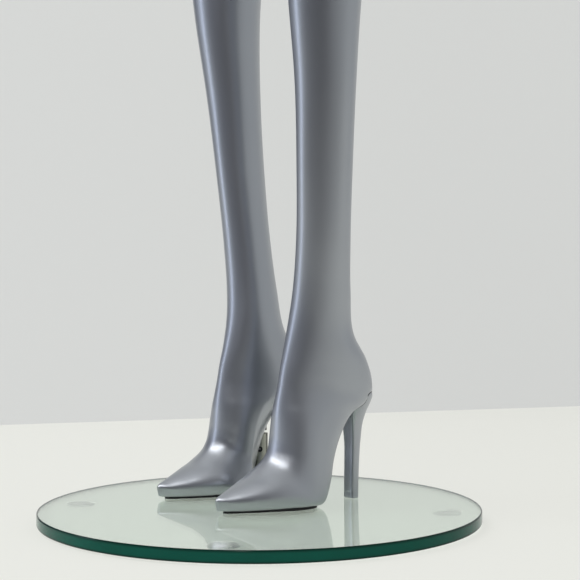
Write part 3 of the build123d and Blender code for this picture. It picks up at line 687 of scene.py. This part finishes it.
def let_through(mat, share_of, color=(1, 1, 1, 1)):
    """Lets light through the material by a share that is built from the ray's kind."""
    tree = mat.node_tree
    clear = add(tree, "ShaderNodeBsdfTransparent", {"Color": color})["BSDF"]
    solid = tree.nodes["Principled BSDF"].outputs["BSDF"]
    show(tree, mixed_shader(tree, share_of(tree), solid, clear))
    return mat


def show(tree, shader):
    tree.links.new(shader, tree.nodes["Material Output"].inputs["Surface"])


def clear_glass():
    """Clear float glass that lets light through to the floor under it."""
    mat = new_material("clear_glass", {
        "Base Color": (0.80, 0.88, 0.815, 1),
        "Roughness": lambda tree: ranged(tree, noise(tree, 30.0, 2.0), low=0.0, high=0.012),
        "Transmission Weight": 1.0,
        "IOR": 1.5,
    })
    return let_through(mat, lambda tree: rays(tree)["Is Shadow Ray"], (0.88, 0.95, 0.92, 1))


def clear_bumper():
    """Clear rubber that lets most light and all shadow rays through."""
    mat = rubber("clear_bumper", (0.70, 0.74, 0.72), 0.30)
    return let_through(mat, lambda tree: maths(tree, "MAXIMUM", rays(tree)["Is Shadow Ray"], BUMPER_CLEAR))


def green_edge():
    """The ground and polished rim, deep green from the long way through the glass, with painted shade that
    darkens it towards its top and bottom edges.
    """
    def rim_green_and_shade(tree):
        streaks = mixed_color(tree, noise(tree, 18.0, 3.0), (0.0, 0.068, 0.044, 1), (0.002, 0.118, 0.082, 1))
        height = add(tree, "ShaderNodeSeparateXYZ", {0: object_place(tree)})["Z"]
        # painted shade: the rim is darker towards its top and bottom edges than in its middle
        away = maths(tree, "ABSOLUTE", maths(tree, "SUBTRACT", height, RIM_MIDDLE * MM))
        edge_shade = ranged(tree, away, RIM_EVEN * MM, RIM_EDGE * MM, kind="SMOOTHSTEP")
        return mixed_color(tree, edge_shade, streaks, (0.0, 0.022, 0.015, 1))

    return new_material("glass_rim", {
        "Base Color": rim_green_and_shade,
        "Roughness": 0.12,
        "IOR": 1.5,
        "Specular IOR Level": 0.12,
    })


def black_screw():
    """Black oxide, with a painted highlight in the socket in the middle of the screw's face."""
    def black_and_painted_highlight(tree):
        middle = (SPIGOT + Vector((0, 0, SCREW_Z))) * MM
        away = vector_maths(tree, "SUBTRACT", object_place(tree), middle)["Vector"]
        across = vector_maths(tree, "CROSS_PRODUCT", away, SCREW_AXIS)["Vector"]
        radius = vector_maths(tree, "LENGTH", across)["Value"]
        # painted highlight: pale inside the socket's radius; the black oxide round it is the screw's own
        # colour
        black = ranged(tree, radius, *(edge * MM for edge in SOCKET_R))
        return mixed_color(tree, black, (0.55, 0.55, 0.52, 1), (0.012, 0.012, 0.013, 1))

    return new_material("black_oxide", {
        "Base Color": black_and_painted_highlight,
        "Roughness": lambda tree: ranged(tree, noise(tree, 700.0, 3.0), low=0.35, high=0.5),
        "Metallic": 0.6,
    })


PAINT = pearl_paint()
GLASS = clear_glass()
RIM = green_edge()
BLACK = rubber("black_rubber", (0.012, 0.012, 0.014), 0.55)

COLLAR = turned_steel("collar_steel", (0.42, 0.42, 0.37), 0.36)
ROD = turned_steel("rod_steel", (0.42, 0.42, 0.40), 0.22)
# looks of the CAD pieces that are kept as they are, by how their names end
CAD_LOOKS = {
    "spigot_collar": COLLAR,
    "glass_bush": COLLAR,
    "spigot_rod": ROD,
    "foot_socket": ROD,
    "thigh_sleeve": ROD,
    "heel_dowel": ROD,
    "base_bolt": ROD,
    "set_screw": black_screw(),
    "_plate": turned_steel("fitting_metal", (0.68, 0.68, 0.67), 0.35),
    "_screws": turned_steel("screw_steel", (0.45, 0.45, 0.44), 0.30),
    "flange_gasket": BLACK,
    "_sole": BLACK,
    "base_pads": clear_bumper(),
}
for ending, look in CAD_LOOKS.items():
    for name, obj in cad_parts.items():
        if name.endswith(ending):
            for place in obj.material_slots:
                place.material = look


# ---------------------------------------------------------------- glass base
def glass_disc():
    """The round glass with its rounded edges and the hole for the spigot's bush."""
    bm = bmesh.new()

    def ring(radius, z, number, middle=Vector()):
        return [bm.verts.new(((middle.x + x) * MM, (middle.y + y) * MM, z * MM))
                for x, y in circle(radius, number)]

    def band(a, b):
        for i in range(len(a)):
            j = (i + 1) % len(a)
            bm.faces.new((a[i], a[j], b[j], b[i])).material_index = 1

    profile = [(GLASS_R - ARRIS * inset, GLASS_TOP - ARRIS * drop) for inset, drop in ARRIS_CURVE]
    profile += [(GLASS_R - ARRIS * inset, PAD_T + ARRIS * drop) for inset, drop in reversed(ARRIS_CURVE)]
    outer = [ring(radius, z, RIM_SIDES) for radius, z in profile]
    for upper, lower in zip(outer, outer[1:]):
        band(lower, upper)
    low_hole, high_hole = [ring(BUSH_HOLE, z, HOLE_SIDES, SPIGOT) for z in (PAD_T, GLASS_TOP)]
    band(high_hole, low_hole)
    for rim, hole in ((outer[0], high_hole), (outer[-1], low_hole)):
        edges = [bm.edges.get((a, b)) for loop in (rim, hole) for a, b in zip(loop, [*loop[1:], loop[0]])]
        bmesh.ops.triangle_fill(bm, edges=edges, use_beauty=True)
    bmesh.ops.recalc_face_normals(bm, faces=bm.faces)
    mesh = bpy.data.meshes.new("glass_disc")
    bm.to_mesh(mesh)
    bm.free()
    mesh.materials.append(GLASS)
    mesh.materials.append(RIM)
    smooth(mesh, GLASS_ANGLE)
    disc = placed("glass_disc", mesh)
    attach(disc, "base")
    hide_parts("glass_base")


glass_disc()


# ---------------------------------------------------------------- legs
def leg(name, cut, steps=()):
    """The left leg below the cut, closed flat there, with a recess where its steps are given."""
    fine = even_rows([HIP[-1], *THIGH], two_ends, LIP_STEP)
    near = min(fine, key=lambda row: abs(row[1] - cut))

    def ring_at(height, inset):
        level = list(near)
        level[1] = level[3] = height
        return drawn_in(leg_ring(level), inset)

    rounding = LIP * LIP_MIDDLE
    rows = even_rows([HIP[-1], *THIGH, *SHANK], two_ends, LEG_STEP)
    rings = [leg_ring(row) for row in rows if row[1] < cut - LIP - LIP_CLEAR]
    lip = ring_at(cut, LIP)
    centre = THIGH_CENTRE.copy()
    centre.z = lip[0].z
    start = [lip, *recess_rings(lip, centre, DOWN, steps)] if steps else [lip]
    return piece(name, [ring_at(cut - rounding, rounding), ring_at(cut - LIP, 0), *rings], start=start)


THIGH_CENTRE = spot(THIGH_X, THIGH_Y, THIGH_CUT)
left_leg = leg("left_leg_skin", THIGH_CUT - SEAM, slot_steps(HIP_FIT))
right_leg = moved_across(leg("spare_leg", THIGH_CUT), "right_leg_skin")
bore(right_leg, [drum(SPIGOT + Vector((0, 0, GLASS_TOP)), UP, POCKET_R, POCKET_DEPTH)])
dress(left_leg, "left_leg", "left_leg_shell", PAINT)
dress(right_leg, "lower_body", "right_leg_shell", PAINT)


# ---------------------------------------------------------------- heels
def heel_rings(rows, step):
    rings = []
    for z, breast, back, half in even_rows(rows, lambda row: ((row[1], row[0]), (row[2], row[0])), step):
        middle = spot(FOOT_CENTRE, HEEL_Y - breast + BREAST_DEPTH, z)
        rings.append(outline(middle, Vector((1, 0, 0)), Vector((0, -1, 0)), half, BREAST_DEPTH,
                             half, breast - back - BREAST_DEPTH, HEEL_FULLNESS))
    return rings


def heel_piece(name, rows, bevel):
    """A closed stretch of the heel whose lower edge has a fine bevel."""
    *rings, foot = heel_rings(rows, HEEL_STEP)
    middle = centre_of(foot)
    lip = [middle + (p - middle) * (1 - bevel / rows[-1][3]) for p in foot]
    for p in foot:
        p.z += bevel
    return piece(name, [ring for ring in rings if ring[0].z > foot[0].z + bevel], end=[foot, lip])


def heel_shadow_line(name, shoe):
    """A fine black line round the heel, where it meets the shoe: painted shadow in the joint."""
    surface = surface_of(shoe)
    points = []
    for column in zip(*reversed(heel_rings(HEEL, HEEL_SEAM_STEP))):
        below, height = None, 0
        for p in column:
            near, normal, _, _ = surface.find_nearest(p * MM)
            over = (p * MM - near).dot(normal)
            if over < 0:
                break
            below, height = p, over
        share = height / (height - over)
        points.append((below + (p - below) * share) * MM)
    line = bpy.data.curves.new(name, "CURVE")
    line.dimensions = "3D"
    line.bevel_depth = HEEL_SEAM_R * MM
    line.bevel_resolution = 3
    spline = line.splines.new("NURBS")
    spline.points.add(len(points) - 1)
    for point, place in zip(spline.points, points):
        point.co = (*place, 1)
    spline.order_u = 4
    spline.use_cyclic_u = True
    tube = placed("line", line)
    mesh = bpy.data.meshes.new_from_object(tube)
    bpy.data.objects.remove(tube)
    return placed(name, mesh)


for part, node, look, slot in (
        (heel_piece("left_heel_skin", HEEL, HEEL_BEVEL), "heel", PAINT, "pearl_silver"),
        (heel_piece("left_heel_tip_skin", HEEL_TIP, TIP_BEVEL), "heel_tip", PAINT, "pearl_silver"),
        # the black line at the heel's joint is painted shadow
        (heel_shadow_line("left_heel_seam", left_leg), None, BLACK, "black_rubber")):
    twin = mirrored(part, part.name.replace("left", "right"))
    dress(part, "left_leg", node and f"left_{node}", look)
    dress(twin, "lower_body", node and f"right_{node}", look)

# ---------------------------------------------------------------- pelvis
left_hip = piece("left_hip", leg_rings([*HIP_TOP, *HIP, *THIGH, SHANK[0]], HIP_STEP))
right_hip = mirrored(left_hip, "right_hip")
hips = [surface_of(left_hip), surface_of(right_hip)]
pelvis = joined("pelvis_skin", [piece("trunk", level_rings(PELVIS, TRUNK_STEP)), right_hip, left_hip])
melt(pelvis, BODY_VOXEL, PELVIS_ROUNDS)
soften(pelvis, SOFT_ROUNDS, *PELVIS_SOFT)
settle(pelvis, hips, *(THIGH_CUT + height for height in PELVIS_RIM))
slice_off(pelvis, spot(0, 0, WAIST_CUT), UP)
slice_off(pelvis, spot(0, 0, THIGH_CUT), DOWN)
bore(pelvis, [plate_cutter(spot(0, WAIST_Y, WAIST_CUT), DOWN, WAIST_FIT),
              plate_cutter(THIGH_CENTRE, UP, HIP_FIT)])
dress(pelvis, "lower_body", "pelvis_shell", PAINT)


# ---------------------------------------------------------------- torso
def add_bust(obj):
    """Brings the chest's front out to two rounded forms, fuller below than above."""
    for v in obj.data.vertices:
        place = v.co / MM - spot(0, 0, 0)
        if place.y > 0:
            continue
        reach = BUST_ABOVE if place.z > BUST_Z else BUST_BELOW
        for side in (1, -1):
            off = ((place.x - side * BUST_X) / BUST_HALF)**2 + ((place.z - BUST_Z) / reach)**2
            if off < 1:
                v.co.y -= BUST_RISE * (1 - off)**BUST_POWER * MM


chest = piece("chest", level_rings(TORSO, TRUNK_STEP))
stub = piece("stub", arm_rings([*SHOULDER, SHOULDER_END], 0, STUB_STEP))
torso = joined("torso_skin", [chest, mirrored(stub, "other_stub"), stub])
melt(torso, BODY_VOXEL, TORSO_ROUNDS)
soften(torso, SOFT_ROUNDS, *TORSO_SOFT)
add_bust(torso)
soften(torso, BUST_ROUNDS, *TORSO_SOFT)
waist = spot(0, WAIST_Y, WAIST_CUT + SEAM)
slice_off(torso, waist, DOWN)
slice_off(torso, spot(0, 0, NECK_CUT), UP)
cutters = [*slot_cutters(waist, UP, WAIST_FIT), plate_cutter(spot(0, NECK_Y, NECK_CUT), DOWN, NECK_FIT)]
for side in (1, -1):
    shoulder = spot(side * SHOULDER_X, SHOULDER_Y, SHOULDER_Z)
    slice_off(torso, shoulder, Vector((side, 0, 0)))
    cutters.append(plate_cutter(shoulder, Vector((-side, 0, 0)), SHOULDER_FIT))
bore(torso, cutters)
dress(torso, "torso", "torso_shell", PAINT)

# ---------------------------------------------------------------- head
head_cut = GLASS_TOP + NECK_CUT + SEAM
head_rings = [ring for ring in level_rings(HEAD, HEAD_STEP) if ring[0].z > head_cut + 2 * NECK_LIP]
neck = [Vector((*p.xy, head_cut + NECK_LIP)) for p in head_rings[-1]]
lip = scaled(neck, NECK_SHARE, head_cut)
neck_centre = Vector((*spot(0, NECK_Y, 0).xy, head_cut))
crown = head_rings[0]
crown_z = centre_of(crown).z
cap = [scaled(crown, share, crown_z + (1 - share) * CROWN_RISE) for share in CROWN_SHARES]
head = piece("head_skin", head_rings, start=cap,
             end=[neck, lip, *recess_rings(lip, neck_centre, UP, slot_steps(NECK_FIT))])
dress(head, "head", "head_shell", PAINT)

# ---------------------------------------------------------------- arms and hands
for side, spread in SPREAD.items():
    wrist = arm_spot(WRIST_X, WRIST_Y, -WRIST_DROP, spread)
    below = arm_spot(WRIST_X, WRIST_Y, -WRIST_DROP - AIM, spread)
    down = (below - wrist).normalized()
    rings = arm_rings(ARM, spread, ARM_STEP)
    shoulder = spot(SHOULDER_X + SEAM, SHOULDER_Y, SHOULDER_Z)
    arm = piece("arm", rings,
                start=recess_rings(rings[0], shoulder, Vector((1, 0, 0)), slot_steps(SHOULDER_FIT)),
                end=recess_rings(rings[-1], wrist, -down, plate_steps(WRIST_FIT)))
    palm = piece("palm", arm_rings([PALM_TOP, *HAND], spread, PALM_STEP))
    hand = joined("hand", [palm, *[piece("finger", finger_rings(*finger, spread)) for finger in FINGERS]])
    melt(hand, HAND_VOXEL, HAND_ROUNDS)
    slice_off(hand, wrist + down * SEAM, -down)
    bore(hand, slot_cutters(wrist + down * SEAM, down, WRIST_FIT))
    for part, kind in ((arm, "arm"), (hand, "hand")):
        if side == "right":
            part = moved_across(part, kind)
        part.name = f"{side}_{kind}_skin"
        dress(part, f"{side}_{kind}", f"{side}_{kind}_shell", PAINT)


# ---------------------------------------------------------------- studio, in metres
VIEW = Vector((-0.8028, 0.5962, 0))          # level, from the camera to the figure
RIGHT = Vector((0.5962, 0.8028, 0))
WALL_AWAY, WALL_SLANT = 1.04, 0.30           # behind the figure, and further behind for each metre right
WALL_ENDS = (-0.62, 3.0)                     # the wall's two ends, to the right of the figure
WALL_TOP, FLOOR_HALF = 3.2, 9.0
# the floor's second colour is a painted dark reflection, which glossy rays alone see
FLOOR_COLOR, FLOOR_REFLECTION_DARK = (0.855, 0.86, 0.81, 1), (0.09, 0.09, 0.10, 1)
FLOOR_FADE = (0.5, 1.6)                      # from the figure to the camera, where the floor's painted dark reflection comes in
WALL_COLOR = (0.735, 0.745, 0.73, 1)
FLOOR_GLOW, WALL_GLOW = 0.74, 0.75           # share of the plain colour in what is seen
KNEES = Vector((0, 0, 0.3))                  # the lamps face them
# each lamp's place left, near and up of the knees, its size, watts and colour
LAMPS = {
    "bank": ((1.93, 1.53, 3.15), (5.6, 1.1), 84, (1, 1, 1)),
    "strip": ((1.6, -0.05, 0.3), (0.34, 1.8), 3.2, (0.74, 0.81, 1.0)),
}
# the room's colour from left to right of the figure
ROOM = [
    (0.0, (0.55, 0.60, 0.69, 1)),
    (0.02, (0.50, 0.54, 0.62, 1)),
    (0.07, (0.30, 0.32, 0.37, 1)),
    (0.15, (0.19, 0.20, 0.24, 1)),
    (0.28, (0.12, 0.125, 0.155, 1)),
    (0.56, (0.095, 0.095, 0.11, 1)),
    (0.70, (0.25, 0.25, 0.265, 1)),
    (0.83, (0.50, 0.51, 0.52, 1)),
    (1.0, (0.58, 0.60, 0.61, 1)),
]
CEILING_COLOR, BEHIND_COLOR = (0.66, 0.67, 0.67, 1), (0.64, 0.65, 0.61, 1)
CEILING_FADE = (0.35, 1.0)                   # the direction's upward share, over which the ceiling comes in


def backdrop(name, color, glow):
    """A matt stage surface. What the camera, metal and glass see of it is mostly its plain colour."""
    mat = new_material(name, {"Base Color": color, "Roughness": 0.9, "Specular IOR Level": 0.1})
    tree = mat.node_tree
    kinds = rays(tree)
    seen = maths(tree, "MAXIMUM", kinds["Is Camera Ray"], kinds["Is Glossy Ray"])
    seen = maths(tree, "MAXIMUM", seen, kinds["Is Transmission Ray"])
    shine = add(tree, "ShaderNodeEmission", {"Color": color(tree) if callable(color) else color})["Emission"]
    matt = tree.nodes["Principled BSDF"].outputs["BSDF"]
    show(tree, mixed_shader(tree, maths(tree, "MULTIPLY", seen, glow), matt, shine))
    return mat


def floor_color(tree):
    """The floor's colour, with a painted dark reflection: it goes dark towards the camera in reflections
    only.
    """
    ahead = vector_maths(tree, "DOT_PRODUCT", object_place(tree), -VIEW)["Value"]
    far = ranged(tree, ahead, *FLOOR_FADE, kind="SMOOTHSTEP")
    # painted dark reflection, for glossy rays only
    dark = maths(tree, "MULTIPLY", far, rays(tree)["Is Glossy Ray"])
    return mixed_color(tree, dark, FLOOR_COLOR, FLOOR_REFLECTION_DARK)


def clear_behind(mat):
    """Makes the back faces clear."""
    tree = mat.node_tree
    front = tree.nodes["Material Output"].inputs["Surface"].links[0].from_socket
    behind = add(tree, "ShaderNodeNewGeometry")["Backfacing"]
    clear = add(tree, "ShaderNodeBsdfTransparent")["BSDF"]
    show(tree, mixed_shader(tree, behind, front, clear))
    return mat


def sheet_of(name, corners, mat):
    mesh = bpy.data.meshes.new(name)
    mesh.from_pydata(corners, [], [tuple(range(len(corners)))])
    mesh.materials.append(mat)
    placed(name, mesh)


def lamp(name, place, size, power, color):
    data = bpy.data.lights.new(name, "AREA")
    data.shape = "RECTANGLE"
    data.size, data.size_y = size
    data.energy = power
    data.color = color
    obj = placed(name, data)
    obj.location = place
    obj.rotation_euler = (KNEES - place).to_track_quat("-Z", "Y").to_euler()


def studio_world():
    """A room that is dark ahead and behind, pale at the left and right, and has a pale ceiling."""
    world = bpy.data.worlds.new("studio")
    bpy.context.scene.world = world
    world.use_nodes = True
    tree = world.node_tree
    direction = add(tree, "ShaderNodeTexCoord")["Generated"]
    across = vector_maths(tree, "DOT_PRODUCT", direction, RIGHT)["Value"]
    ramp = tree.nodes.new("ShaderNodeValToRGB")
    wire(tree, ramp, {"Fac": ranged(tree, across, start=-1)})
    ramp.color_ramp.interpolation = "EASE"
    while len(ramp.color_ramp.elements) < len(ROOM):
        ramp.color_ramp.elements.new(0.5)
    for element, (position, color) in zip(ramp.color_ramp.elements, ROOM):
        element.position = position
        element.color = color
    height = add(tree, "ShaderNodeSeparateXYZ", {0: direction})["Z"]
    above = ranged(tree, height, *CEILING_FADE, kind="SMOOTHSTEP")
    room = mixed_color(tree, above, ramp.outputs["Color"], CEILING_COLOR)
    seen = mixed_color(tree, rays(tree)["Is Camera Ray"], room, BEHIND_COLOR)
    wire(tree, tree.nodes["Background"], {"Color": seen, "Strength": 1.0})


floor_corners = [(x * FLOOR_HALF, y * FLOOR_HALF, 0) for x, y in ((-1, -1), (1, -1), (1, 1), (-1, 1))]
sheet_of("floor", floor_corners, backdrop("floor_white", floor_color, FLOOR_GLOW))
left_foot, right_foot = [VIEW * (WALL_AWAY + WALL_SLANT * along) + RIGHT * along for along in WALL_ENDS]
rise = Vector((0, 0, WALL_TOP))
sheet_of("wall", [left_foot, right_foot, right_foot + rise, left_foot + rise],
         clear_behind(backdrop("wall_white", WALL_COLOR, WALL_GLOW)))
for name, ((left, near, up), *light) in LAMPS.items():
    lamp(name, KNEES - RIGHT * left - VIEW * near + Vector((0, 0, up)), *light)
studio_world()

# ---------------------------------------------------------------- camera
PLACE = Vector((1.0861, -0.7679, 0.2404))    # metres
PITCH, ROLL = radians(-0.2565), radians(-0.128)
LENS, SENSOR = 80.69, 36                     # millimetres
ahead = (VIEW.normalized() * cos(PITCH) + Vector((0, 0, sin(PITCH)))).normalized()
beside = ahead.cross(UP).normalized()
above = beside.cross(ahead)
rolled_beside = beside * cos(ROLL) + above * sin(ROLL)
rolled_above = above * cos(ROLL) - beside * sin(ROLL)
data = bpy.data.cameras.new("camera")
data.lens, data.sensor_width = LENS, SENSOR
data.clip_start, data.clip_end = 0.05, 50
camera = placed("camera", data)
camera.matrix_world = Matrix((rolled_beside, rolled_above, -ahead)).transposed().to_4x4()
camera.location = PLACE
bpy.context.scene.camera = camera
bpy.context.scene.view_settings.view_transform = "Standard"
